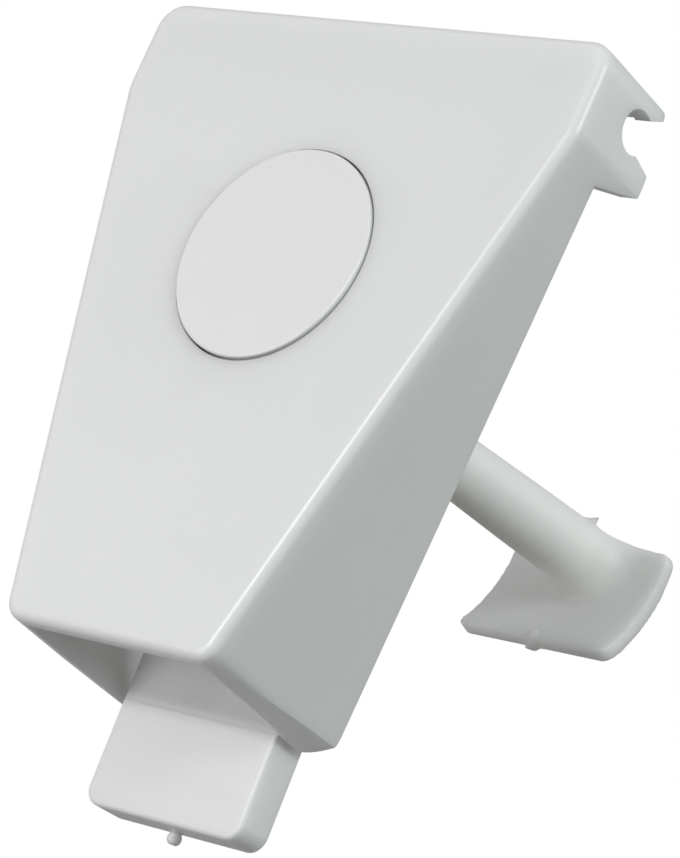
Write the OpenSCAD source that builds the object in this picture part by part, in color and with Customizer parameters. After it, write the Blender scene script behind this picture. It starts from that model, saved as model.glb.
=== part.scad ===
// Push-button panel for a toilet cistern, in millimetres.
// X runs to the right, Y into the cistern and Z up the face.
// The origin is the axis of the bar that the two side hooks grip, on the centre line.
// Every piece is drawn in face coordinates: X right, Y down the face from its top edge,
// Z into the depth behind the face. place() carries the finished piece to its true position.

/* [Cover] */
// Width of the face along its top edge
cover_w = 80.4; // [72:0.2:92]
// Height of the face from its top edge to its foot
cover_h = 91.4; // [88:0.2:104]
// Width of the face at its foot
foot_w = 37; // [35:0.1:44]
// Height of the stretch below the top edge where the sides run parallel
straight_h = 13.6; // [10:0.2:16]
// Depth of the side walls at the foot, measured from the face
foot_depth = 28.4; // [27:0.1:34]
// Angle between the face and the back edge of the side walls, in degrees
wedge_angle = 15; // [12:0.1:16]
// Thickness of the face
face_t = 2.5; // [2:0.1:3]
// Thickness of the side walls
wall_t = 2.6; // [2:0.1:3.2]
// Thickness of the top wall
top_t = 2.4; // [2:0.1:3]
// Radius of the rounded front edge
edge_r = 1.5; // [0.6:0.1:1.6]
// Radius of the top corners, seen from the front
corner_r = 4; // [3.5:0.5:6]
// Radius of the soft bend where the sides start to taper
bend_r = 7; // [6:0.5:7.5]
// Radius of the rounded lower ends of the side walls
foot_r = 3.2; // [0.9:0.1:3.4]
// Slope of the top wall, down to the back, in degrees
top_slope = 3; // [0:0.5:5]
// Slope of the foot, down to the back, in degrees
foot_slope = 3.5; // [0:0.5:5]
// Radius of the side walls' lower back corners, seen from the side
foot_back_r = 2.8; // [2:0.2:4]

/* [Hooks] */
// Diameter of the cistern's pivot bar
bar_d = 6; // [5.6:0.1:6.4]
// Clearance between the bar and the hooks, on the radius
bar_gap = 0.02; // [0:0.01:0.1]
// Depth of the bar's axis behind the face
pivot_depth = 10.8; // [10.5:0.1:12]
// Drop of the bar's axis below the top edge
pivot_drop = 7.35; // [6.6:0.05:7.6]
// How much narrower the mouth is than the bar's seat, on each side
mouth_pinch = 0.45; // [0.2:0.05:0.5]
// Reach of the upper jaw past the bar's axis
upper_reach = 4.1; // [3.6:0.1:5.5]
// Reach of the lower jaw past the bar's axis
lower_reach = 5.1; // [4.5:0.1:6]
// Thickness of the lower jaw at its end
jaw_t = 3.2; // [2.4:0.1:3.4]
// Flare of the mouth along the upper jaw, in degrees
upper_flare = 29; // [20:1:32]
// Flare of the mouth along the lower jaw, in degrees
lower_flare = 16; // [5:1:20]
// Slope of the lower jaw's underside, in degrees
jaw_slope = 18; // [12:1:24]
// Lean of the upper jaw's end face, away from the mouth, in degrees
upper_lean = 25; // [10:1:30]
// Lean of the lower jaw's end face, away from the mouth, in degrees
lower_lean = 4; // [0:1:30]

/* [Finger button] */
// Diameter of the finger button's round face
button_d = 30.8; // [28:0.2:32]
// Drop of the button's centre below the top edge
button_drop = 35.65; // [34.5:0.05:37]
// How far the button stands proud of the panel's face
button_proud = 0.55; // [0:0.05:1]
// Running gap round the button, on the radius
button_gap = 0.3; // [0.25:0.05:0.5]
// Thickness of the button's face
button_t = 2.2; // [1.8:0.1:2.6]
// Thickness of the button's skirt
skirt_t = 1.7; // [1.4:0.1:2]
// Radius of the edge of the button's face
button_edge_r = 0.3; // [0.2:0.05:0.7]
// Travel of the button into the panel
travel = 6.5; // [4:0.5:7]
// Width of the stop flange, past the skirt
flange_w = 4.4; // [3.6:0.1:4.6]
// Thickness of the stop flange
flange_t = 1.9; // [1.6:0.1:2.4]

/* [Guide] */
// Length of the guide collar behind the face
collar_len = 5.6; // [4:0.2:7]
// Thickness of the guide collar
collar_t = 1.8; // [1.4:0.1:2.2]
// Diameter of the posts that carry the bridge
post_d = 6.4; // [6:0.1:7]
// Thickness of the bridge plate
bridge_t = 2.2; // [1.8:0.1:3]
// Height of the rim that centres the spring on the bridge
bridge_rim_h = 1.8; // [1.2:0.1:2.4]
// Thickness of the ribs between the posts and the collar
rib_t = 1.6; // [1.2:0.1:2]

/* [Return spring] */
// Diameter of the spring wire
wire_d = 0.9; // [0.7:0.05:1]
// Number of free coils
free_coils = 2.5; // [2:0.5:3]

/* [Push rod] */
// Distance of the rod's axis below the top edge, at the face
rod_drop = 44.2; // [43:0.1:45]
// Rise of the rod towards the back, in degrees
rod_rise = 2.35; // [0:0.05:3]
// Diameter of the rod where it leaves the button's socket
rod_root_d = 7.6; // [7:0.1:8.2]
// Draft of the rod, in degrees a side
rod_draft = 1.05; // [0.5:0.05:1.2]
// Diameter of the rod's spigot inside the socket
spigot_d = 5; // [4:0.1:5.4]
// Radius of the shoe's curved back
shoe_r = 25; // [22:0.5:28]
// Thickness of the shoe
shoe_t = 2.4; // [2:0.1:3]
// Width of the shoe
shoe_w = 27; // [22:0.2:30]
// Depth of the shoe's furthest point behind the face
shoe_depth = 85.2; // [70:0.2:95]
// Angle of the shoe above the furthest point, in degrees
shoe_up = 7; // [4:0.5:9]
// Angle of the shoe below the furthest point, in degrees
shoe_down = 39.5; // [30:0.5:45]

/* [Tongue] */
// Width of the locating tongue
tongue_w = 28.3; // [24:0.2:29]
// Reach of the tongue below the foot of the face
tongue_reach = 15.9; // [12:0.1:18]
// Height of the part of the tongue that lies inside the cover
tongue_root = 19; // [17:0.5:22]
// Distance of the tongue's screws from its upper end
tongue_hole_in = 8.6; // [7.5:0.1:10]
// Depth of the tongue's front behind the face, at its tip
tongue_front = 23.2; // [22:0.1:25]
// Thickness of the tongue at its edges
tongue_t = 4.6; // [4.4:0.1:5.4]
// Thickness of the tongue's front wall and of its returned edges
tongue_wall = 1.9; // [1.6:0.1:2.2]
// Lean of the tongue towards the back as it goes down, in degrees
tongue_lean = 3.2; // [2:0.1:4]
// Radius of the tongue's lower corners
tongue_corner_r = 2.5; // [2:0.5:4]
// Distance between the tongue's two screws
tongue_pitch = 15; // [13:0.5:17]

/* [Screws] */
// Diameter of the screw shank
screw_d = 2.4; // [2.2:0.1:2.6]
// Length of the screw under its head
screw_len = 9; // [8:0.5:11]
// Diameter of the screw head
head_d = 5.6; // [5:0.1:5.8]
// Height of the screw head
head_h = 1.8; // [1.4:0.1:2.2]

/* [Hidden] */

$fn = 64;
// Facets of the round corners that are blended into the cover's outline
blend_fn = 32;
// Overrun of cutting shapes past the surface that they cut
over = 1;
// Clearance between pieces that lie face to face or slide
seat_gap = 0.05;
slide_gap = 0.3;

// Cover
taper = (cover_w - foot_w) / 2 / (cover_h - straight_h);
taper_angle = atan(taper);
back_slope = tan(wedge_angle);
outline_spare = 6;
outline_depth = foot_depth + outline_spare;
foot_overrun = 14;
foot_low = cover_h + foot_depth * tan(foot_slope);
bend_row = straight_h - bend_r * tan(taper_angle / 2);
foot_in_r = 0.8;

// Hooks
seat_r = bar_d / 2 + bar_gap;
mouth_r = seat_r - mouth_pinch;
lip_depth = sqrt(seat_r * seat_r - mouth_r * mouth_r);
hook_root = 8;
tip_r = 0.35;

// Button and guide, as radii and depths
button_r = button_d / 2;
button_in = button_t - button_proud;
aperture_r = button_r + button_gap;
skirt_in_r = button_r - skirt_t;
collar_r = aperture_r + collar_t;
collar_end = face_t + collar_len;
flange_r = button_r + flange_w;
flange_front = collar_end + slide_gap;
flange_back = flange_front + flange_t;
spring_ring_h = 2;
spring_ring_w = 0.9;
spring_ring_r = button_r + spring_ring_w;
ring_end = flange_back + spring_ring_h;
coil_r = spring_ring_r + slide_gap + wire_d / 2;
end_coils = 2;
spring_solid = (free_coils + end_coils) * wire_d;
spring_spare = 0.8;
bridge_front = flange_back + travel + spring_solid + spring_spare;
bridge_back = bridge_front + bridge_t;
bridge_r = flange_r - slide_gap;
spring_len = bridge_front - flange_back - 4 * seat_gap;
rim_in_r = coil_r + wire_d / 2 + slide_gap;
rim_t = 1.1;
window_in_r = 6;
window_margin = 2.9;
window_out_r = coil_r - window_margin;
window_angle = 58;
window_starts = [-35, -109, 157];
post_bite = 0.6;
post_ring_r = flange_r + post_d / 2 - post_bite;
post_angles = [90, 212, 328];
post_gap = 0.45;
lug_r = post_d / 2 + post_bite;
pilot_spare = 1;
pilot_d = screw_d + 2 * seat_gap;
pilot_depth = screw_len - bridge_t + pilot_spare;
clear_d = screw_d + 2 * slide_gap;

// Rod, socket and shoe
rod_slope = tan(rod_rise);
rod_start = ring_end;
socket_wall = 1.5;
socket_r = spigot_d / 2 + socket_wall;
spigot_gap = 0.04;
bead_h = 0.3;
bead_w = 1.4;
rod_front_drop = rod_drop - rod_slope * rod_start;
rod_len = shoe_depth - rod_start - shoe_t;
rod_end_r = rod_root_d / 2 + rod_len * tan(rod_draft);
shoe_offset = 0.55;
shoe_drop = rod_drop - rod_slope * shoe_depth - shoe_offset;
shoe_top = shoe_drop - shoe_r * sin(shoe_up);
shoe_low = shoe_drop + shoe_r * sin(shoe_down);
shoe_top_r = 2;
shoe_foot_r = 1.4;
shoe_tilt = 13;
shoe_spare = 6;
flare_r = 5.5;
// Half width of the flare's top and its share of the fall to the shoe's upper edge
shoulders = [[0.4, 0], [1.2, 0.6], [3, 0.9], [8, 1]];
guide_play = 0.9;
guide_nose_h = 2;
guide_hole_r = rod_root_d / 2 + (bridge_back - rod_start) * tan(rod_draft) + guide_play;
nub_r = 1.2;
nub_h = 0.6;
spike_h = 0.8;
spike_t = 1.2;
spike_foot = 2.4;
spike_in = 1.9;

// Tongue
tongue_len = tongue_reach + tongue_root;
tongue_tip = cover_h + tongue_reach;
tongue_back = tongue_front + tongue_t;
tongue_edge_r = 0.65;
tongue_hole_drop = cover_h - tongue_root + tongue_hole_in;
root_set = 0.4;
root_drop = 1.2;
boss_d = 6.4;
pad_d = 7.6;
pad_h = 0.8;
tongue_seat = tongue_front - (tongue_tip - tongue_hole_drop) * tan(tongue_lean) - pad_h;
tongue_head_seat = tongue_seat + 2 * pad_h + tongue_wall;
gate_r = 1.2;
gate_neck_r = 0.7;
gate_neck_h = 0.4;
gate_h = 1.9;
gate_in = 0.3;

// Screws
recess_w = 0.9;
recess_h = 1;
recess_reach = 0.3;
point_h = 2;

// Half width of the face at a distance down from its top edge
function half_w(down) = cover_w / 2 - max(0, down - straight_h) * taper;

// Depth of the side walls' back edge at a distance down from the top edge
function back_depth(down) = foot_depth - (cover_h - down) * back_slope;

// Carries a piece from face coordinates to its place
module place() {
    translate([0, -pivot_depth, pivot_drop])
        rotate([-90, 0, 0])
            children();
}

// Carries a piece to the axis of the finger button
module on_button() {
    translate([0, button_drop, 0])
        children();
}

// Repeats a piece at each of the bridge's posts
module at_posts() {
    for (a = post_angles)
        on_button()
            translate([post_ring_r * cos(a), post_ring_r * sin(a), 0])
                children();
}

// Repeats a piece at each of the tongue's screws
module at_tongue_screws() {
    for (side = [-1, 1])
        translate([side * tongue_pitch / 2, tongue_hole_drop, 0])
            children();
}

// Carries a piece onto the rod's axis, with Z along the rod from the socket's mouth
module on_rod() {
    translate([0, rod_front_drop, rod_start])
        rotate([rod_rise, 0, 0])
            children();
}

// A round corner post with a rounded front edge, its far end set down by a slope in degrees
module corner_post(r, edge, len, slope = 0) {
    rotate_extrude($fn = blend_fn)
        intersection() {
            square([r, 2 * edge]);
            union() {
                translate([0, edge])
                    square([r, edge]);
                square([r - edge, edge]);
                translate([r - edge, edge])
                    circle(edge);
            }
        }
    translate([0, len * tan(slope), len - edge])
        cylinder(r = r, h = edge, $fn = blend_fn);
}

// A plain corner post, its far end set down by a slope in degrees
module plain_post(r, len, slope = 0) {
    for (z = [0, len - over])
        translate([0, z * tan(slope), z])
            cylinder(r = r, h = over, $fn = blend_fn);
}

// The cover's solid outline, from its face back, before it is hollowed
module cover_outline() {
    hull()
        for (side = [-1, 1]) {
            translate([side * (cover_w / 2 - corner_r), corner_r, 0])
                corner_post(corner_r, edge_r, outline_depth, top_slope);
            translate([side * (cover_w / 2 - bend_r), bend_row, 0])
                corner_post(bend_r, edge_r, outline_depth);
            translate([side * (half_w(cover_h - foot_r) - foot_r / cos(taper_angle)),
                       cover_h - foot_r, 0])
                corner_post(foot_r, edge_r, outline_depth, foot_slope);
        }
}

// The hollow behind the face, open at the back and at the foot
module cover_hollow() {
    top_in_r = corner_r - top_t;
    bend_in_r = bend_r - wall_t;
    low = cover_h + foot_overrun;
    translate([0, 0, face_t])
        hull()
            for (side = [-1, 1]) {
                translate([side * (cover_w / 2 - wall_t - top_in_r),
                           top_in_r + top_t + face_t * tan(top_slope), 0])
                    plain_post(top_in_r, outline_depth + over, top_slope);
                translate([side * (cover_w / 2 - bend_r), bend_row, 0])
                    plain_post(bend_in_r, outline_depth + over);
                translate([side * (half_w(low) - (wall_t + foot_in_r) / cos(taper_angle)), low, 0])
                    plain_post(foot_in_r, outline_depth + over);
            }
}

// The cover seen from its side, as a sketch of distance down the face and depth
module side_profile() {
    offset(r = tip_r)
        offset(delta = -tip_r)
            difference() {
                union() {
                    wedge_profile();
                    translate([pivot_drop, pivot_depth])
                        hook_profile();
                }
                translate([pivot_drop, pivot_depth])
                    mouth_profile();
            }
}

// The side walls' wedge, with its lower back corner rounded
module wedge_profile() {
    lead = 3 * foot_back_r;
    offset(r = foot_back_r)
        offset(delta = -foot_back_r)
            polygon([[-lead, -lead], [foot_low, -lead],
                     [foot_low, back_depth(foot_low)], [-lead, back_depth(-lead)]]);
}

// Half width of the mouth's upper and lower sides at a distance past the bar's axis
function upper_lip(reach) = mouth_r + (reach - lip_depth) * tan(upper_flare);
function lower_lip(reach) = mouth_r + (reach - lip_depth) * tan(lower_flare);

// The two jaws before their mouth is cut, with the bar's axis at the origin
module hook_profile() {
    top = -pivot_drop - 2 * over;
    upper = -upper_lip(upper_reach);
    lower = lower_lip(lower_reach);
    end_reach = lower_reach + jaw_t * tan(lower_lean);
    polygon([[top, -hook_root], [top, upper_reach + (upper - top) * tan(upper_lean)],
             [upper, upper_reach], [0, 0], [lower, lower_reach], [lower + jaw_t, end_reach],
             [lower + jaw_t + (end_reach + hook_root) * tan(jaw_slope), -hook_root]]);
}

// The mouth between the jaws, wider towards its opening
module mouth_profile() {
    far = 2 * lower_reach;
    polygon([[-mouth_r, 0], [mouth_r, 0], [mouth_r, lip_depth], [lower_lip(far), far],
             [-upper_lip(far), far], [-mouth_r, lip_depth]]);
}

// The shell of the cover with its hooks
module cover_shell() {
    intersection() {
        difference() {
            cover_outline();
            cover_hollow();
        }
        translate([-cover_w / 2 - over, 0, 0])
            rotate([90, 0, 90])
                linear_extrude(cover_w + 2 * over)
                    side_profile();
    }
}

// Posts, ribs and bosses behind the face
module cover_inside() {
    root = face_t - over;
    on_button()
        translate([0, 0, root])
            cylinder(r = collar_r, h = collar_end - root);
    at_posts()
        translate([0, 0, root])
            cylinder(d = post_d, h = bridge_front - root);
    on_button()
        for (a = post_angles)
            rotate(a)
                translate([aperture_r + collar_t / 2, -rib_t / 2, root])
                    cube([post_ring_r - aperture_r - collar_t / 2, rib_t, collar_end - root]);
    at_tongue_screws()
        translate([0, 0, root])
            cylinder(d = boss_d, h = tongue_seat - root);
    translate([-tongue_pitch / 2, tongue_hole_drop - rib_t / 2, root])
        cube([tongue_pitch, rib_t, (tongue_seat - root) / 2]);
}

// The moulded panel: face, walls, hooks, guide collar, posts and bosses
module front_cover() {
    color("#DADADA")
        place()
            difference() {
                union() {
                    cover_shell();
                    cover_inside();
                }
                translate([-cover_w / 2 - over, pivot_drop, pivot_depth])
                    rotate([0, 90, 0])
                        cylinder(r = seat_r, h = cover_w + 2 * over);
                on_button()
                    translate([0, 0, -over])
                        cylinder(r = aperture_r, h = collar_end + 2 * over);
                at_posts()
                    translate([0, 0, bridge_front - pilot_depth])
                        cylinder(d = pilot_d, h = pilot_depth + over);
                at_tongue_screws()
                    translate([0, 0, tongue_seat - pilot_depth])
                        cylinder(d = pilot_d, h = pilot_depth + over);
            }
}

// Half section of the button: face, skirt, stop flange and spring ring
module button_section() {
    translate([0, -button_proud]) {
        square([button_r - button_edge_r, button_t]);
        translate([0, button_edge_r])
            square([button_r, button_t - button_edge_r]);
        translate([button_r - button_edge_r, button_edge_r])
            circle(button_edge_r, $fn = blend_fn);
    }
    translate([skirt_in_r, 0])
        square([skirt_t, ring_end]);
    translate([skirt_in_r, flange_front])
        square([flange_r - skirt_in_r, flange_t]);
    translate([skirt_in_r, flange_front])
        square([spring_ring_r - skirt_in_r, ring_end - flange_front]);
}

// The finger button with its off-centre socket for the rod
module finger_button() {
    color("#E0E0DF")
        place()
            difference() {
                union() {
                    on_button()
                        rotate_extrude()
                            button_section();
                    intersection() {
                        on_rod()
                            translate([0, 0, -rod_start])
                                cylinder(r = socket_r, h = rod_start);
                        on_button()
                            translate([0, 0, button_in / 2])
                                cylinder(r = skirt_in_r + skirt_t / 2, h = ring_end);
                    }
                    button_ribs();
                }
                on_rod()
                    translate([0, 0, button_in + seat_gap - rod_start])
                        cylinder(r = spigot_d / 2 + spigot_gap, h = rod_start);
                on_rod()
                    translate([0, 0, -bead_w * 2])
                        cylinder(r = spigot_d / 2 + bead_h + spigot_gap, h = bead_w);
                at_posts()
                    translate([0, 0, collar_end])
                        cylinder(d = post_d + 2 * post_gap, h = ring_end);
            }
}

// Ribs that stiffen the button's face, from the socket to the skirt
module button_ribs() {
    rib_h = 3.4;
    inner = 0.3 * skirt_in_r;
    start = socket_r - socket_wall / 2;
    on_button()
        for (a = [0, 180])
            rotate(a)
                translate([inner, -rib_t / 2, button_in / 2])
                    cube([skirt_in_r - inner + skirt_t / 2, rib_t, rib_h]);
    translate([0, rod_drop, button_in / 2])
        for (rib = [[-90, rod_drop - button_drop + skirt_in_r], [-135, skirt_in_r], [-45, skirt_in_r]])
            rotate(rib[0])
                translate([start, -rib_t / 2, 0])
                    cube([rib[1] - start, rib_t, rib_h]);
}

// The moulded rod with its curved shoe, spigot and moulding marks
module push_rod() {
    color("#B4B6B4")
        place() {
            on_rod() {
                cylinder(r1 = rod_root_d / 2, r2 = rod_end_r, h = rod_len);
                rod_spigot();
            }
            rod_flare();
            shoe();
        }
}

// The spigot that snaps into the button's socket
module rod_spigot() {
    spigot_len = rod_start - button_in - 4 * seat_gap;
    translate([0, 0, -spigot_len])
        cylinder(d = spigot_d, h = spigot_len + over);
    translate([0, 0, -bead_w * 1.75])
        cylinder(r = spigot_d / 2 + bead_h - seat_gap, h = bead_w / 2);
}

// The curved flare where the rod runs into the shoe, with sloping shoulders on its top
module rod_flare() {
    intersection() {
        on_rod()
            translate([0, 0, rod_len - flare_r])
                rotate_extrude()
                    difference() {
                        square([rod_end_r + flare_r, flare_r + shoe_t]);
                        translate([rod_end_r + flare_r, 0])
                            circle(flare_r);
                    }
        linear_extrude(shoe_depth)
            shoulder_sketch();
        shoe_zone();
    }
}

// The outline of the flare's shoulders, seen from behind
module shoulder_sketch() {
    top = shoe_drop - rod_end_r;
    polygon(concat(
        [for (p = shoulders) [p[0], top + p[1] * (shoe_top - top)]],
        [[shoe_w / 2, shoe_top], [shoe_w / 2, shoe_low]],
        [[-shoe_w / 2, shoe_low], [-shoe_w / 2, shoe_top]],
        [for (i = [len(shoulders) - 1:-1:0])
            [-shoulders[i][0], top + shoulders[i][1] * (shoe_top - top)]]));
}

// Everything in front of the shoe's curved back
module shoe_zone() {
    translate([-shoe_w / 2, shoe_drop, shoe_depth - shoe_r])
        rotate([0, 90, 0])
            cylinder(r = shoe_r - shoe_t / 2, h = shoe_w);
}

// The shoe, a curved plate that rolls on the flush lever, with its gate and corner spike
module shoe() {
    sweep = shoe_up + shoe_down + shoe_spare;
    intersection() {
        translate([0, shoe_drop, shoe_depth - shoe_r])
            rotate([0, 90, 0])
                rotate([0, 0, 180 - shoe_down - shoe_spare])
                    rotate_extrude(angle = sweep)
                        translate([shoe_r - shoe_t, -shoe_w / 2])
                            square([shoe_t, shoe_w]);
        shoe_outline();
    }
    translate([0, shoe_low - nub_r, shoe_foot_depth()])
        rotate([-90 + shoe_tilt, 0, 0])
            cylinder(r1 = nub_r, r2 = nub_r * cos(shoe_down), h = nub_r + nub_h);
    translate([-spike_t / 2, shoe_drop - rod_end_r, shoe_depth - shoe_t - spike_in])
        rotate([90, 0, 90])
            linear_extrude(spike_t)
                polygon([[over, -spike_foot], [-spike_h, 0], [over, 0]]);
}

// Depth of the middle of the shoe's lower edge
function shoe_foot_depth() = shoe_depth - shoe_r + (shoe_r - shoe_t / 2) * cos(shoe_down);

// The shoe seen from behind, with rounded corners and a tilted lower edge
module shoe_outline() {
    hull()
        for (side = [-1, 1]) {
            translate([side * (shoe_w / 2 - shoe_top_r), shoe_top + shoe_top_r, shoe_depth - shoe_r])
                cylinder(r = shoe_top_r, h = shoe_r + over, $fn = blend_fn);
            translate([side * (shoe_w / 2 - shoe_foot_r), shoe_low,
                       shoe_depth - shoe_r + shoe_r * cos(shoe_down)])
                rotate([-shoe_tilt, 0, 0])
                    translate([0, -shoe_foot_r, -shoe_r / 2])
                        cylinder(r = shoe_foot_r, h = shoe_r, $fn = blend_fn);
        }
}

// Place of the spring wire after a number of turns: closed end coils, open middle
function wire_z(turn) =
    let (open = min(max(turn - end_coils / 2, 0), free_coils),
         free = spring_len - (1 + end_coils) * wire_d)
    wire_d / 2 + (turn - open) * wire_d + open * free / free_coils;

// The coil spring, a round wire swept along its helix
module return_spring() {
    sides = 8;
    steps = 24;
    turns = free_coils + end_coils;
    rings = floor(turns * steps);
    points = [for (i = [0:rings], j = [0:sides - 1])
        let (turn = i / steps, a = turn * 360, b = j * 360 / sides, r = coil_r + wire_d / 2 * cos(b))
        [r * cos(a), r * sin(a), wire_z(turn) + wire_d / 2 * sin(b)]];
    walls = [for (i = [0:rings - 1], j = [0:sides - 1])
        let (k = (j + 1) % sides)
        [i * sides + j, (i + 1) * sides + j, (i + 1) * sides + k, i * sides + k]];
    ends = [[for (j = [0:sides - 1]) j], [for (j = [sides - 1:-1:0]) rings * sides + j]];
    color("#B8BCC0")
        place()
            on_button()
                translate([0, 0, flange_back + seat_gap])
                    polyhedron(points, concat(walls, ends), convexity = 6);
}

// The bridge: a spoked plate that closes the guide, holds the spring and steadies the rod
module guide_bridge() {
    hole_drop = rod_drop - rod_slope * bridge_front;
    color("#D2D2D0")
        place()
            difference() {
                union() {
                    on_button()
                        translate([0, 0, bridge_front + seat_gap])
                            cylinder(r = bridge_r, h = bridge_t);
                    on_button()
                        translate([0, 0, bridge_front - bridge_rim_h])
                            cylinder(r = rim_in_r + rim_t, h = bridge_rim_h + bridge_t);
                    at_posts()
                        translate([0, 0, bridge_front + seat_gap])
                            cylinder(r = lug_r, h = bridge_t);
                    translate([0, hole_drop, bridge_front])
                        cylinder(r = guide_hole_r + socket_wall, h = bridge_t + guide_nose_h);
                }
                on_button()
                    translate([0, 0, bridge_front - bridge_rim_h - over])
                        cylinder(r = rim_in_r, h = bridge_rim_h + over + seat_gap);
                translate([0, hole_drop, bridge_front - over])
                    cylinder(r = guide_hole_r, h = bridge_t + guide_nose_h + 2 * over);
                at_posts()
                    translate([0, 0, bridge_front - over])
                        cylinder(d = clear_d, h = bridge_t + 2 * over);
                on_button()
                    bridge_windows();
            }
}

// Curved windows that lighten the bridge, above and beside the rod
module bridge_windows() {
    for (start = window_starts)
        rotate(start)
            translate([0, 0, bridge_front - over])
                rotate_extrude(angle = window_angle)
                    translate([window_in_r, 0])
                        square([window_out_r - window_in_r, bridge_t + 2 * over]);
}

// A pan-head screw with a cross recess, its seat at Z = 0 and its head towards +Z
module pan_screw() {
    dome_r = (head_d * head_d / 4 + head_h * head_h) / (2 * head_h);
    difference() {
        union() {
            intersection() {
                cylinder(d = head_d, h = head_h);
                translate([0, 0, head_h - dome_r])
                    sphere(dome_r);
            }
            translate([0, 0, -screw_len + point_h])
                cylinder(d = screw_d, h = screw_len - point_h + head_h / 2);
            translate([0, 0, -screw_len])
                cylinder(d1 = screw_d * 0.3, d2 = screw_d, h = point_h);
        }
        for (a = [0, 90])
            rotate(a)
                translate([-head_d * recess_reach, -recess_w / 2, head_h - recess_h])
                    cube([2 * head_d * recess_reach, recess_w, head_h]);
    }
}

// The screws that hold the bridge on its posts
module bridge_screws() {
    color("#C0C2C6")
        place()
            at_posts()
                translate([0, 0, bridge_back + 2 * seat_gap])
                    pan_screw();
}

// The locating tongue: a tray-shaped plate with returned edges, ribs and screw pads
module locating_tongue() {
    color("#D8D8D8")
        place()
            difference() {
                union() {
                    intersection() {
                        on_tongue()
                            tongue_tray();
                        translate([-tongue_w, 0, 0])
                            rotate([90, 0, 90])
                                linear_extrude(2 * tongue_w)
                                    back_limit();
                    }
                    at_tongue_screws()
                        translate([0, 0, tongue_seat + seat_gap])
                            cylinder(d = pad_d, h = tongue_head_seat - tongue_seat - seat_gap);
                }
                at_tongue_screws()
                    translate([0, 0, tongue_seat - over])
                        cylinder(d = clear_d, h = tongue_t + 3 * over);
            }
}

// Carries a piece onto the tongue: Y runs down to its tip at 0, Z from its front towards the back
module on_tongue() {
    translate([0, tongue_tip, tongue_front])
        rotate([tongue_lean, 0, 0])
            children();
}

// Limit behind which the tongue doesn't reach: the plane of the cover's back edges
module back_limit() {
    high = cover_h - tongue_root - 2 * over;
    low = tongue_tip + 2 * gate_h;
    polygon([[high, 0], [low, 0], [low, tongue_back + over], [cover_h, tongue_back + over],
             [cover_h, back_depth(cover_h) - slide_gap], [high, back_depth(high) - slide_gap]]);
}

// The tongue's tray before its holes, with its root set back and the gate nub on its lower edge
module tongue_tray() {
    inner_w = tongue_w - 2 * tongue_wall;
    difference() {
        tongue_block(tongue_w, tongue_len, 0, tongue_corner_r, tongue_edge_r, tongue_t + over);
        difference() {
            translate([-inner_w / 2, -tongue_len + tongue_wall, tongue_wall])
                cube([inner_w, tongue_len - 2 * tongue_wall, tongue_t + 2 * over]);
            translate([-rib_t / 2, -tongue_len, 0])
                cube([rib_t, tongue_len, tongue_t + over]);
            translate([-tongue_w / 2, -tongue_reach / 2, 0])
                cube([tongue_w, rib_t, tongue_t + over]);
        }
        translate([-tongue_w, -tongue_len - over, -over])
            cube([2 * tongue_w, tongue_root + over + root_drop, root_set + over]);
    }
    translate([0, 0, tongue_t - gate_in])
        rotate([-90, 0, 0])
            rotate_extrude()
                polygon([[0, -over], [gate_neck_r, -over], [gate_neck_r, gate_neck_h],
                         [gate_r, gate_neck_h + gate_r - gate_neck_r],
                         [gate_neck_r, gate_h], [0, gate_h]]);
}

// A plate with rounded lower corners and a rounded front edge
module tongue_block(width, height, start, r, edge, depth) {
    hull()
        for (side = [-1, 1]) {
            translate([side * (width / 2 - r), start - r, 0])
                corner_post(r, edge, depth);
            translate([side * (width / 2 - r), start - height + r, 0])
                corner_post(r, edge, depth);
        }
}

// The screws that hold the tongue on its bosses
module tongue_screws() {
    color("#C0C2C6")
        place()
            at_tongue_screws()
                translate([0, 0, tongue_head_seat + seat_gap])
                    pan_screw();
}

front_cover();
finger_button();
push_rod();
return_spring();
guide_bridge();
bridge_screws();
locating_tongue();
tongue_screws();
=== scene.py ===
"""Looks of the cistern push button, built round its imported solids.

Everything is in metres in the part's own frame: X right along the pivot bar, Y from the face
into the cistern, Z up the face, with the origin on the bar's axis.
"""

import math

import bpy
from bpy.props import (FloatProperty, FloatVectorProperty, IntProperty, PointerProperty,
                       StringProperty)
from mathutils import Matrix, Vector


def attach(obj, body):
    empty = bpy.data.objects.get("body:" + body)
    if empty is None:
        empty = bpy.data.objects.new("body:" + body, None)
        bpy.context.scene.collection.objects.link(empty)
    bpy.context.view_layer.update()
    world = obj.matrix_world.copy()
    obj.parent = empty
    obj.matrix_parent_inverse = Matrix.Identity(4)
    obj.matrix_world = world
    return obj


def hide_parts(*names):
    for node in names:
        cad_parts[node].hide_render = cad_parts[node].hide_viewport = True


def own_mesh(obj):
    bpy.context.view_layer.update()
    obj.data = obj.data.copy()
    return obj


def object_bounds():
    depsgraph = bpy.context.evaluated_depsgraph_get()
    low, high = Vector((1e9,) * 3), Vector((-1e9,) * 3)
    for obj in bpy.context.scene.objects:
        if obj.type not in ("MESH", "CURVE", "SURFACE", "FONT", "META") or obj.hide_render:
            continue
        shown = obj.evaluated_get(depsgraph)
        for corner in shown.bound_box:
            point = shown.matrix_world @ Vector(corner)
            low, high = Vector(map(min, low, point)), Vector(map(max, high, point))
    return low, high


bl_info = {
    "name": "Cistern push button looks",
    "version": (1, 0, 0),
    "blender": (4, 5, 0),
    "location": "3D View > Sidebar > Push button",
    "description": "Finishes, fine pieces and stage for a cistern push-button panel",
    "category": "Object",
}

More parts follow.
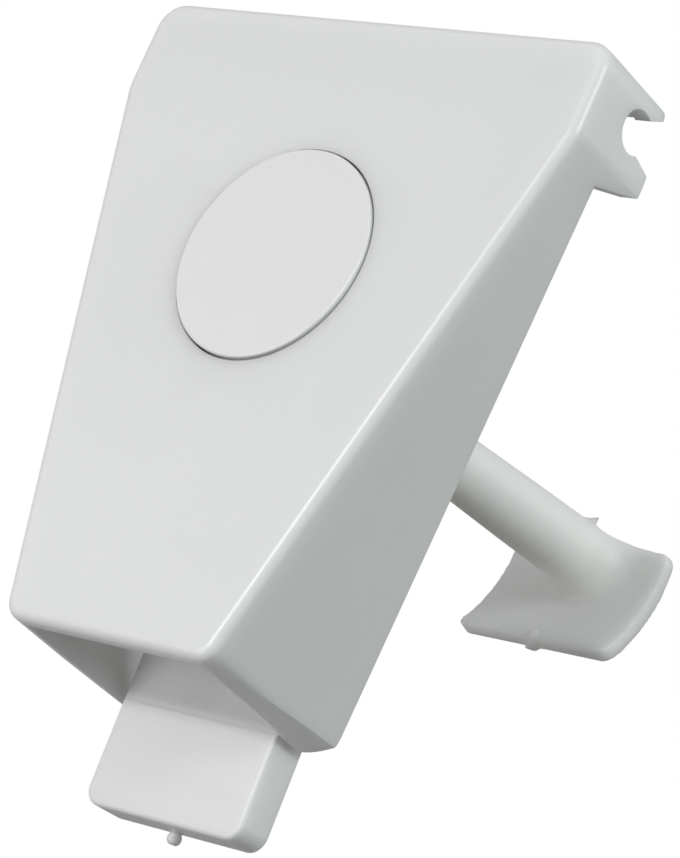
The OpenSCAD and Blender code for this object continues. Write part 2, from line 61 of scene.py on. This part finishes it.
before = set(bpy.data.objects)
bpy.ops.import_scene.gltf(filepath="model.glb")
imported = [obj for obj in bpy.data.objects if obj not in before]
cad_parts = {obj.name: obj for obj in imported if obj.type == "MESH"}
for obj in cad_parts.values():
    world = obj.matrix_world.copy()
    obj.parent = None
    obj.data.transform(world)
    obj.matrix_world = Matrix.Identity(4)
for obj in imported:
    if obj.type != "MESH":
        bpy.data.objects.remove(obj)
CAD_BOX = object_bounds()
# Height of the camera's sensor in millimetres, which its lens goes with
SENSOR_HEIGHT = 24.0
FLOOR_RADIUS = 4.0
# Points of a imported solid closer than this are one point
MERGE_REACH = 0.000005
# Faces that meet at less than this are one flat face
FLAT_ANGLE = math.radians(0.5)
# Faces that meet at more than this have a sharp edge between them
EDGE_ANGLE = math.radians(30)
# How far the flats at the cover's foot drop for each length that they run back, which is less than
# the rim does, so that they fade out before they reach the face
FLAT_DROP = 0.020
# Radius of the gate nub that hangs from the tongue
NUB_RADIUS = 0.001
# Middle of the rod where it runs into its shoe
JUNCTION = Vector((0.0, 0.0665, -0.0345))
# Marks of the mould that stay crisp, with their reach: the shoe's gate nub and the thorn's tip
CRISP = [(Vector((0.0, 0.0676, -0.0492)), 0.0012),
         (Vector((0.0, 0.0702, -0.0270)), 0.0012)]
# Middle of the ejector mark on the shoe's front
BEAD = Vector((0.0003, 0.0669, -0.0471))
# Middle and reach of the dip where the rod's top meets the shoe's upper edge
DIP = Vector((0.0, 0.0716, -0.0278))
DIP_REACH = 0.0034
# Foot and tip of the thorn of flash on the rod's top, and how thick it is across for its length
THORN_FOOT = Vector((0.0, 0.0688, -0.0286))
THORN_TIP = Vector((0.0, 0.0707, -0.0262))
THORN_THINNING = 0.7
# A point of the rod whose normal has more +Y than this is on the shoe's rolling face
ROLLING_FACE = 0.5
# Numbers of a Mix node's two colours and of its result, which have the names of other sockets
MIX_LOW, MIX_HIGH, MIX_OUT = 6, 7, 2


# Settings


class StageSettings(bpy.types.PropertyGroup):
    """Camera, floor and lamps."""

    camera_place: FloatVectorProperty(
        name="Camera place", description="Where the camera stands", subtype="TRANSLATION",
        default=(0.38796, -0.39126, -0.19214), precision=5)
    camera_turn: FloatVectorProperty(
        name="Camera turn", description="How the camera is turned", subtype="EULER",
        default=tuple(math.radians(a) for a in (106.3666, -23.0213, 37.1978)))
    lens: FloatProperty(
        name="Lens", description="Focal length on a sensor 24 mm high", default=121.66, min=20.0)
    floor_drop: FloatProperty(
        name="Floor drop", description="How far the floor lies below the pivot bar",
        default=0.42, min=0.12, unit="LENGTH")
    floor_colour: StringProperty(
        name="Floor colour", description="sRGB hex colour of the pale floor", default="#E9E9E6")
    floor_bounce: FloatProperty(
        name="Floor bounce", description="How much of its light the floor gives back to the part",
        default=0.16, min=0.0, max=1.0)
    key_power: FloatProperty(
        name="Key power", description="Power of the lamp straight before the face",
        default=5.75, min=0.0, unit="POWER")
    low_power: FloatProperty(
        name="Low power", description="Power of the soft lamp before the foot, below the face",
        default=1.0, min=0.0, unit="POWER")
    side_power: FloatProperty(
        name="Side power", description="Power of the soft lamp on the right",
        default=7.0, min=0.0, unit="POWER")
    rear_power: FloatProperty(
        name="Rear power", description="Power of the soft lamp behind the right side",
        default=1.6, min=0.0, unit="POWER")
    fill: FloatProperty(
        name="Fill", description="Strength of the even light from all round",
        default=0.395, min=0.0)


class PieceSettings(bpy.types.PropertyGroup):
    """Sizes of the pieces that are made finer than their solids."""

    skin_grid: FloatProperty(
        name="Skin grid", description="Spacing of the points on the rod's skin",
        default=0.0003, min=0.00025, unit="LENGTH", precision=5)
    edge_rounds: IntProperty(
        name="Edge rounds", description="Rounds of smoothing over the rod's whole skin",
        default=7, min=0)
    junction_rounds: IntProperty(
        name="Junction rounds", description="Rounds of smoothing where the rod runs into its shoe",
        default=70, min=0)
    junction_reach: FloatProperty(
        name="Junction reach", description="How far round its middle the junction is smoothed",
        default=0.0135, min=0.005, unit="LENGTH", precision=4)
    edge_ease: FloatProperty(
        name="Edge ease", description="How far the white mouldings' sharp edges are rounded",
        default=0.0002, min=0.00005, unit="LENGTH", precision=5)
    trim_depth: FloatProperty(
        name="Trim depth", description="How deep the corners at the cover's foot are flattened",
        default=0.0008, min=0.00005, unit="LENGTH", precision=5)
    trim_angle: FloatProperty(
        name="Trim angle", description="How far the flat at the foot looks down from sideways",
        default=math.radians(58), min=0.0, subtype="ANGLE")
    bead_rise: FloatProperty(
        name="Bead rise", description="Height of the ejector mark on the shoe",
        default=0.0005, min=0.0, unit="LENGTH", precision=5)
    bead_radius: FloatProperty(
        name="Bead radius", description="Radius of the ejector mark on the shoe",
        default=0.0008, min=0.0001, unit="LENGTH", precision=5)
    dip_depth: FloatProperty(
        name="Dip depth", description="How far the rod's top is lowered at the shoe's upper edge",
        default=0.0010, min=0.0, unit="LENGTH", precision=5)
    thorn_foot: FloatProperty(
        name="Thorn foot", description="Radius of the thorn's foot on the rod",
        default=0.0009, min=0.0003, unit="LENGTH", precision=5)
    parting_rise: FloatProperty(
        name="Parting rise", description="Height of the mould's parting line on the rod",
        default=0.00005, min=0.0, unit="LENGTH", precision=6)
    parting_width: FloatProperty(
        name="Parting width", description="Half width of the mould's parting line",
        default=0.0005, min=0.0001, unit="LENGTH", precision=5)


class FinishSettings(bpy.types.PropertyGroup):
    """Colours of the moulded and metal pieces, as sRGB hex values."""

    cover_colour: StringProperty(
        name="Cover", description="sRGB hex colour of the moulded cover", default="#DFDFDF")
    button_colour: StringProperty(
        name="Button", description="sRGB hex colour of the finger button", default="#E0E0DF")
    # The tongue's colour is the cover's white made lighter: painted light that makes up for the
    # light the cover keeps off it
    tongue_colour: StringProperty(
        name="Tongue", description="sRGB hex colour of the locating tongue", default="#E4E4E3")
    bridge_colour: StringProperty(
        name="Bridge", description="sRGB hex colour of the guide bridge", default="#D4D5D2")
    rod_colour: StringProperty(
        name="Rod", description="sRGB hex colour of the unpigmented rod", default="#EEEDEB")
    spring_colour: StringProperty(
        name="Spring", description="sRGB hex colour of the spring wire", default="#B9BBBE")
    screw_colour: StringProperty(
        name="Screws", description="sRGB hex colour of the zinc-plated screws", default="#C6C9CE")


# Materials


def linear(hex_colour):
    """An sRGB hex colour as linear red, green, blue and alpha."""
    channels = [int(hex_colour[i:i + 2], 16) / 255 for i in (1, 3, 5)]
    return [c / 12.92 if c <= 0.04045 else ((c + 0.055) / 1.055) ** 2.4 for c in channels] + [1.0]


def shade(hex_colour, factor):
    """A linear colour made darker or lighter by a factor."""
    return [min(c * factor, 1.0) for c in linear(hex_colour)[:3]] + [1.0]


def per_metre(size_mm):
    """Scale of a noise pattern whose patches are this many millimetres across."""
    return 1000 / size_mm


def add(tree, kind, settings=None, **links):
    """Adds a node, sets its inputs or properties, and links outputs to its inputs.

    A setting is named, or is an input's number. A link is named with _ for a space, or is _ and an
    input's number.
    """
    node = tree.nodes.new(kind)
    for name, value in (settings or {}).items():
        if isinstance(name, int) or name in node.inputs:
            node.inputs[name].default_value = value
        else:
            setattr(node, name, value)
    for name, output in links.items():
        key = name.replace("_", " ")
        tree.links.new(output, node.inputs[key if key in node.inputs else int(name[1:])])
    return node


def new_material(name):
    """An empty node material and its tree."""
    made = bpy.data.materials.new(name)
    made.use_nodes = True
    made.node_tree.nodes.clear()
    return made, made.node_tree


def moulded_plastic(name, colour, rough, clouding, grain, glow=0.0, ior=1.54):
    """Injection-moulded plastic: nearly even colour, soft gloss, faint grain and faint sink marks.

    Clouding is how far the colour varies, grain is how strong the tool's grain is, and glow is the
    share of the light that goes under the skin and comes out up to about 8 mm away.
    """
    made, tree = new_material(name)
    place = add(tree, "ShaderNodeTexCoord").outputs["Object"]
    # Flow clouding
    cloud = add(tree, "ShaderNodeTexNoise",
                {"Scale": per_metre(18.18), "Detail": 3.0, "Roughness": 0.45}, Vector=place)
    tone = add(tree, "ShaderNodeMix",
               {"data_type": "RGBA", MIX_LOW: shade(colour, 1 - clouding),
                MIX_HIGH: shade(colour, 1 + clouding)}, Factor=cloud.outputs["Fac"])
    # Gloss varies a little between the polished and the duller spots of the tool
    spots = add(tree, "ShaderNodeTexNoise", {"Scale": per_metre(6.25), "Detail": 2.0}, Vector=place)
    gloss = add(tree, "ShaderNodeMapRange", {"To Min": rough - 0.04, "To Max": rough + 0.05},
                Value=spots.outputs["Fac"])
    # Sink marks, and the tool's grain, drawn as coarse as it needs to show
    sink = add(tree, "ShaderNodeTexNoise", {"Scale": per_metre(12.5), "Detail": 1.0}, Vector=place)
    fine = add(tree, "ShaderNodeTexNoise", {"Scale": per_metre(0.357), "Detail": 2.0}, Vector=place)
    soft = add(tree, "ShaderNodeBump", {"Strength": 0.12, "Distance": 0.00005},
               Height=sink.outputs["Fac"])
    bump = add(tree, "ShaderNodeBump", {"Strength": grain, "Distance": 0.000012},
               Height=fine.outputs["Fac"], Normal=soft.outputs["Normal"])
    skin = add(tree, "ShaderNodeBsdfPrincipled",
               {"IOR": ior, "Subsurface Weight": glow, "Subsurface Radius": (1.0, 1.0, 0.9),
                "Subsurface Scale": 0.008},
               Base_Color=tone.outputs[MIX_OUT], Roughness=gloss.outputs["Result"],
               Normal=bump.outputs["Normal"])
    add(tree, "ShaderNodeOutputMaterial", Surface=skin.outputs["BSDF"])
    return made


def bright_metal(name, colour, rough, mark_mm):
    """Bright metal with fine marks, this many millimetres across, left by drawing or tumbling."""
    made, tree = new_material(name)
    place = add(tree, "ShaderNodeTexCoord").outputs["Object"]
    marks = add(tree, "ShaderNodeTexNoise",
                {"Scale": per_metre(mark_mm), "Detail": 4.0, "Roughness": 0.6}, Vector=place)
    gloss = add(tree, "ShaderNodeMapRange", {"To Min": rough - 0.08, "To Max": rough + 0.12},
                Value=marks.outputs["Fac"])
    # The marks are darker where they are deep
    tone = add(tree, "ShaderNodeMix",
               {"data_type": "RGBA", MIX_LOW: shade(colour, 0.82), MIX_HIGH: shade(colour, 1.1)},
               Factor=marks.outputs["Fac"])
    bump = add(tree, "ShaderNodeBump", {"Strength": 0.25, "Distance": 0.00001},
               Height=marks.outputs["Fac"])
    skin = add(tree, "ShaderNodeBsdfPrincipled", {"Metallic": 1.0},
               Base_Color=tone.outputs[MIX_OUT], Roughness=gloss.outputs["Result"],
               Normal=bump.outputs["Normal"])
    add(tree, "ShaderNodeOutputMaterial", Surface=skin.outputs["BSDF"])
    return made


def finish_of(piece, made):
    """Gives a piece one material."""
    if piece.material_slots:
        for slot in piece.material_slots:
            slot.material = made
    else:
        piece.data.materials.append(made)


# Operators


class PUSHBUTTON_OT_stage(bpy.types.Operator):
    """Set the camera, the floor, the lamps and the light from all round"""

    bl_idname = "pushbutton.stage"
    bl_label = "Set the stage"

    def execute(self, context):
        setup = context.scene.pushbutton_stage
        scene = context.scene
        scene.view_settings.view_transform = "Standard"

        bpy.ops.object.camera_add(location=setup.camera_place, rotation=setup.camera_turn)
        camera = context.object
        camera.name = "photo_camera"
        camera.data.sensor_fit = "VERTICAL"
        camera.data.sensor_height = SENSOR_HEIGHT
        camera.data.lens = setup.lens
        camera.data.clip_start = 0.01
        scene.camera = camera

        bpy.ops.mesh.primitive_circle_add(
            vertices=96, radius=FLOOR_RADIUS, fill_type="NGON",
            location=(0, 0, -setup.floor_drop))
        floor = context.object
        floor.name = "floor"
        bpy.ops.object.transform_apply(location=True, rotation=True, scale=True)
        finish_of(floor, floor_paint(setup.floor_colour, setup.floor_bounce))

        middle = (CAD_BOX[0] + CAD_BOX[1]) / 2
        # Name, direction from the part, distance, size, power and colour of each soft lamp
        lamps = [("key_lamp", (-0.12, -0.99, 0.02), 1.3, 0.16, setup.key_power, "#FFFFFF"),
                 ("low_lamp", (-0.32, -0.84, -0.44), 0.55, 0.3, setup.low_power, "#FFFFFF"),
                 ("side_lamp", (0.86, -0.28, 0.38), 1.3, 0.5, setup.side_power, "#F6FFFC"),
                 ("rear_lamp", (0.65, 0.55, 0.5), 1.2, 0.7, setup.rear_power, "#F8FFFD")]
        for name, way, distance, size, power, colour in lamps:
            way = Vector(way).normalized()
            bpy.ops.object.light_add(type="AREA", location=middle + way * distance,
                                     rotation=way.to_track_quat("Z", "Y").to_euler())
            lamp = context.object
            lamp.name = name
            lamp.data.size = size
            lamp.data.energy = power
            lamp.data.color = linear(colour)[:3]
            lamp.visible_camera = False
        scene.world = studio_light(setup.fill)
        return {"FINISHED"}


def floor_paint(colour, bounce):
    """Plain pale studio paper: matt, with a trace of fibre, and it gives back little light."""
    made, tree = new_material("matt_studio_paper")
    place = add(tree, "ShaderNodeTexCoord").outputs["Object"]
    # Paper fibre
    fibre = add(tree, "ShaderNodeTexNoise", {"Scale": per_metre(1.11), "Detail": 2.0}, Vector=place)
    bump = add(tree, "ShaderNodeBump", {"Strength": 0.1, "Distance": 0.0001},
               Height=fibre.outputs["Fac"])
    skin = add(tree, "ShaderNodeBsdfPrincipled", {"Base Color": linear(colour), "Roughness": 0.85},
               Normal=bump.outputs["Normal"])
    dark = add(tree, "ShaderNodeBsdfDiffuse", {"Color": [bounce, bounce, bounce, 1.0]})
    path = add(tree, "ShaderNodeLightPath")
    seen = add(tree, "ShaderNodeMixShader", Fac=path.outputs["Is Diffuse Ray"],
               _1=skin.outputs["BSDF"], _2=dark.outputs["BSDF"])
    add(tree, "ShaderNodeOutputMaterial", Surface=seen.outputs["Shader"])
    return made


def studio_light(fill):
    """A world that is white where the camera sees it and an even soft light elsewhere."""
    world = bpy.data.worlds.new("white_studio")
    world.use_nodes = True
    tree = world.node_tree
    tree.nodes.clear()
    path = add(tree, "ShaderNodeLightPath")
    seen = add(tree, "ShaderNodeMath", {"operation": "MAXIMUM"},
               _0=path.outputs["Is Camera Ray"], _1=path.outputs["Is Transmission Ray"])
    strength = add(tree, "ShaderNodeMapRange", {"To Min": fill, "To Max": 1.0},
                   Value=seen.outputs[0])
    light = add(tree, "ShaderNodeBackground", {"Color": (1, 1, 1, 1)},
                Strength=strength.outputs["Result"])
    add(tree, "ShaderNodeOutputWorld", Surface=light.outputs["Background"])
    return world


class PUSHBUTTON_OT_finishes(bpy.types.Operator):
    """Give the button its gloss and the screws their plating"""

    bl_idname = "pushbutton.finishes"
    bl_label = "Finish the button and screws"

    def execute(self, context):
        tint = context.scene.pushbutton_finish
        # ABS from a polished tool: an even white with a soft gloss
        finish_of(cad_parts["finger_button"],
                  moulded_plastic("moulded_abs_button", tint.button_colour,
                                  rough=0.30, clouding=0.006, grain=0.08))
        # Zinc-plated steel: bright and slightly mottled
        steel = bright_metal("zinc_plated_steel", tint.screw_colour, rough=0.30, mark_mm=0.714)
        for node in ("bridge_screws", "tongue_screws"):
            finish_of(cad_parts[node], steel)
        return {"FINISHED"}


# Pieces made finer than their solids


def merged_copy(node, name):
    """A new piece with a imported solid's shape, its loose triangles merged into one skin."""
    bpy.ops.object.select_all(action="DESELECT")
    piece = bpy.data.objects.new(name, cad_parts[node].data.copy())
    bpy.context.scene.collection.objects.link(piece)
    piece.data.materials.clear()
    piece.select_set(True)
    bpy.context.view_layer.objects.active = piece
    bpy.ops.object.mode_set(mode="EDIT")
    bpy.ops.mesh.select_all(action="SELECT")
    bpy.ops.mesh.remove_doubles(threshold=MERGE_REACH)
    bpy.ops.object.mode_set(mode="OBJECT")
    return piece


def apply_step(piece, kind, **settings):
    """Adds a modifier with its settings and applies it."""
    step = piece.modifiers.new(kind.lower(), kind)
    for name, value in settings.items():
        setattr(step, name, value)
    bpy.ops.object.modifier_apply(modifier=step.name)


def take_place(piece, node, body, material):
    """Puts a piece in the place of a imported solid."""
    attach(piece, body)
    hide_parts(node)
    finish_of(piece, material)


class PUSHBUTTON_OT_mouldings(bpy.types.Operator):
    """Mould the cover, tongue and bridge with eased edges"""

    bl_idname = "pushbutton.mouldings"
    bl_label = "Mould the white pieces"

    def execute(self, context):
        tint = context.scene.pushbutton_finish
        sizes = context.scene.pushbutton_pieces
        plan = [
            # ABS from a polished tool: an even white with a soft gloss, and thin walls that let a
            # little light into the hollow
            ("front_cover", "panel", "cover_white",
             moulded_plastic("moulded_abs_cover", tint.cover_colour,
                             rough=0.34, clouding=0.008, grain=0.10, glow=0.5)),
            # ABS from a finely etched tool, a little duller; its colour is the cover's white made
            # lighter, as painted light that makes up for the light the cover keeps off it
            ("locating_tongue", "panel", "tongue_white",
             moulded_plastic("moulded_abs_tongue", tint.tongue_colour,
                             rough=0.42, clouding=0.010, grain=0.2, glow=0.5)),
            # ABS from an unpolished tool, where nobody looks: duller still, with more grain
            ("guide_bridge", "panel", "bridge_white",
             moulded_plastic("moulded_abs_bridge", tint.bridge_colour,
                             rough=0.48, clouding=0.012, grain=0.3, glow=0.5)),
        ]
        for node, body, slot, plastic in plan:
            piece = merged_copy(node, node + "_moulding")
            bpy.ops.object.mode_set(mode="EDIT")
            bpy.ops.mesh.select_all(action="SELECT")
            bpy.ops.mesh.dissolve_limited(angle_limit=FLAT_ANGLE)
            bpy.ops.object.mode_set(mode="OBJECT")
            if node == "locating_tongue":
                round_nub(piece)
            if node == "front_cover":
                trim_foot(piece, sizes)
            apply_step(piece, "BEVEL", width=sizes.edge_ease, segments=2, limit_method="ANGLE",
                       angle_limit=EDGE_ANGLE)
            bpy.ops.object.shade_smooth_by_angle(angle=EDGE_ANGLE)
            apply_step(piece, "WEIGHTED_NORMAL", keep_sharp=True)
            take_place(piece, node, body, plastic)
        return {"FINISHED"}


def trim_foot(piece, sizes):
    """Flattens the rounded corners at the foot of both side walls."""
    down = math.sin(sizes.trim_angle)
    for side in (1, -1):
        way = Vector((side * math.cos(sizes.trim_angle), -FLAT_DROP * down, -down)).normalized()
        reach = max(point.co.dot(way) for point in piece.data.vertices) - sizes.trim_depth
        bpy.ops.object.mode_set(mode="EDIT")
        bpy.ops.mesh.select_all(action="SELECT")
        bpy.ops.mesh.bisect(plane_co=way * reach, plane_no=way, use_fill=True, clear_outer=True)
        bpy.ops.object.mode_set(mode="OBJECT")


def round_nub(piece):
    """Rounds the gate nub below the tongue into a bead on a short neck."""
    lowest = min(point.co.z for point in piece.data.vertices)
    # The nub ends above its bead's middle by half of the bead's radius
    nub_top = lowest + 1.5 * NUB_RADIUS
    bpy.ops.object.mode_set(mode="EDIT")
    bpy.ops.mesh.select_all(action="DESELECT")
    bpy.ops.object.mode_set(mode="OBJECT")
    for face in piece.data.polygons:
        face.select = face.center.z < nub_top
    bpy.ops.object.mode_set(mode="EDIT")
    bpy.ops.mesh.subdivide(number_cuts=2)
    bpy.ops.object.mode_set(mode="OBJECT")
    bead = [point for point in piece.data.vertices if point.select]
    depth = sum(point.co.y for point in bead) / len(bead)
    middle = Vector((0.0, depth, lowest + NUB_RADIUS))
    for point in bead:
        point.co = middle + (point.co - middle).normalized() * NUB_RADIUS


class PUSHBUTTON_OT_rod(bpy.types.Operator):
    """Mould the push rod and its shoe as one soft-edged piece"""

    bl_idname = "pushbutton.rod"
    bl_label = "Mould the push rod"

    def execute(self, context):
        sizes = context.scene.pushbutton_pieces
        piece = merged_copy("push_rod", "push_rod_moulding")
        add_thorn(piece, sizes)
        apply_step(piece, "REMESH", mode="VOXEL", voxel_size=sizes.skin_grid, use_smooth_shade=True)
        soften(piece, "edges", sizes.edge_rounds, lambda place: 1.0)
        # In full over the inner half of the junction's reach, and fading to its end
        soften(piece, "junction", sizes.junction_rounds,
               lambda place: 2 * (1 - (place - JUNCTION).length / sizes.junction_reach))
        raise_parting_line(piece, sizes)
        raise_bead(piece, sizes)
        press_dip(piece, sizes)
        # Unpigmented acetal: waxy, slightly translucent and milky, with soft broad highlights
        acetal = moulded_plastic("natural_acetal", context.scene.pushbutton_finish.rod_colour,
                                 rough=0.40, clouding=0.030, grain=0.15, glow=1.0, ior=1.48)
        take_place(piece, "push_rod", "button", acetal)
        return {"FINISHED"}


def soften(piece, name, rounds, share):
    """Smooths the part of a skin that share chooses, as flowing plastic leaves it."""
    zone = piece.vertex_groups.new(name=name)
    # Not at all within a crisp mark's reach, and in full from twice that reach
    for point in piece.data.vertices:
        weight = min([share(point.co), 1.0]
                     + [(point.co - mark).length / reach - 1 for mark, reach in CRISP])
        if weight > 0:
            zone.add([point.index], weight, "REPLACE")
    apply_step(piece, "SMOOTH", factor=0.5, iterations=rounds, vertex_group=name)
    piece.vertex_groups.clear()


def add_thorn(piece, sizes):
    """Grows the thin thorn that the mould's vent leaves on the rod, nearly sharp at its tip."""
    way = THORN_TIP - THORN_FOOT
    bpy.ops.object.select_all(action="DESELECT")
    bpy.ops.mesh.primitive_cone_add(
        vertices=20, radius1=sizes.thorn_foot, radius2=sizes.thorn_foot / 10, depth=way.length,
        location=(THORN_FOOT + THORN_TIP) / 2,
        rotation=way.to_track_quat("Z", "X").to_euler())
    thorn = bpy.context.object
    bpy.ops.object.transform_apply(location=True, rotation=True, scale=True)
    for point in thorn.data.vertices:
        point.co.x *= THORN_THINNING
    bpy.ops.object.shade_smooth()
    piece.select_set(True)
    bpy.context.view_layer.objects.active = piece
    bpy.ops.object.join()


def raise_parting_line(piece, sizes):
    """Raises the mould's fine line along the middle, except on the shoe's rolling face."""
    for point in piece.data.vertices:
        share = 1 - (point.co.x / sizes.parting_width) ** 2
        if share > 0 and point.normal.y < ROLLING_FACE:
            point.co += point.normal * (sizes.parting_rise * share)


def press_dip(piece, sizes):
    """Lowers the rod's top where it meets the shoe's upper edge."""
    for point in piece.data.vertices:
        share = 1 - ((point.co - DIP).length / DIP_REACH) ** 2
        if share > 0:
            point.co.z -= sizes.dip_depth * share


def raise_bead(piece, sizes):
    """Raises the small round mark of the ejector pin on the shoe's front."""
    for point in piece.data.vertices:
        share = 1 - ((point.co - BEAD).length / sizes.bead_radius) ** 2
        if share > 0:
            point.co += point.normal * (sizes.bead_rise * share)


class PUSHBUTTON_OT_spring(bpy.types.Operator):
    """Wind the return spring from round wire"""

    bl_idname = "pushbutton.spring"
    bl_label = "Wind the return spring"

    def execute(self, context):
        piece = merged_copy("return_spring", "return_spring_coil")
        bpy.ops.object.mode_set(mode="EDIT")
        bpy.ops.mesh.select_all(action="SELECT")
        bpy.ops.mesh.tris_convert_to_quads()
        bpy.ops.object.mode_set(mode="OBJECT")
        apply_step(piece, "SUBSURF", levels=2, render_levels=2)
        bpy.ops.object.shade_smooth()
        # Drawn spring steel: bright, with the die's fine marks, drawn coarse enough to show
        steel = bright_metal("drawn_spring_steel", context.scene.pushbutton_finish.spring_colour,
                             rough=0.32, mark_mm=0.385)
        take_place(piece, "return_spring", "panel", steel)
        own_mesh(piece)
        return {"FINISHED"}


# Panel and registration


class PUSHBUTTON_PT_panel(bpy.types.Panel):
    """Lists the steps and the settings."""

    bl_idname = "PUSHBUTTON_PT_panel"
    bl_label = "Push button"
    bl_space_type = "VIEW_3D"
    bl_region_type = "UI"
    bl_category = "Push button"

    def draw(self, context):
        for step in STEPS:
            self.layout.operator(step.bl_idname)
        scene = context.scene
        for group in (scene.pushbutton_stage, scene.pushbutton_pieces, scene.pushbutton_finish):
            box = self.layout.box()
            for name in group.bl_rna.properties.keys():
                if name not in ("rna_type", "name"):
                    box.prop(group, name)


STEPS = [PUSHBUTTON_OT_stage, PUSHBUTTON_OT_finishes, PUSHBUTTON_OT_mouldings, PUSHBUTTON_OT_rod,
         PUSHBUTTON_OT_spring]
CLASSES = [StageSettings, PieceSettings, FinishSettings, *STEPS, PUSHBUTTON_PT_panel]


def register():
    for cls in CLASSES:
        bpy.utils.register_class(cls)
    bpy.types.Scene.pushbutton_stage = PointerProperty(type=StageSettings)
    bpy.types.Scene.pushbutton_pieces = PointerProperty(type=PieceSettings)
    bpy.types.Scene.pushbutton_finish = PointerProperty(type=FinishSettings)


def unregister():
    del bpy.types.Scene.pushbutton_finish
    del bpy.types.Scene.pushbutton_pieces
    del bpy.types.Scene.pushbutton_stage
    for cls in reversed(CLASSES):
        bpy.utils.unregister_class(cls)


def main():
    register()
    bpy.ops.pushbutton.stage()
    bpy.ops.pushbutton.finishes()
    bpy.ops.pushbutton.mouldings()
    bpy.ops.pushbutton.rod()
    bpy.ops.pushbutton.spring()


if __name__ == "__main__":
    main()
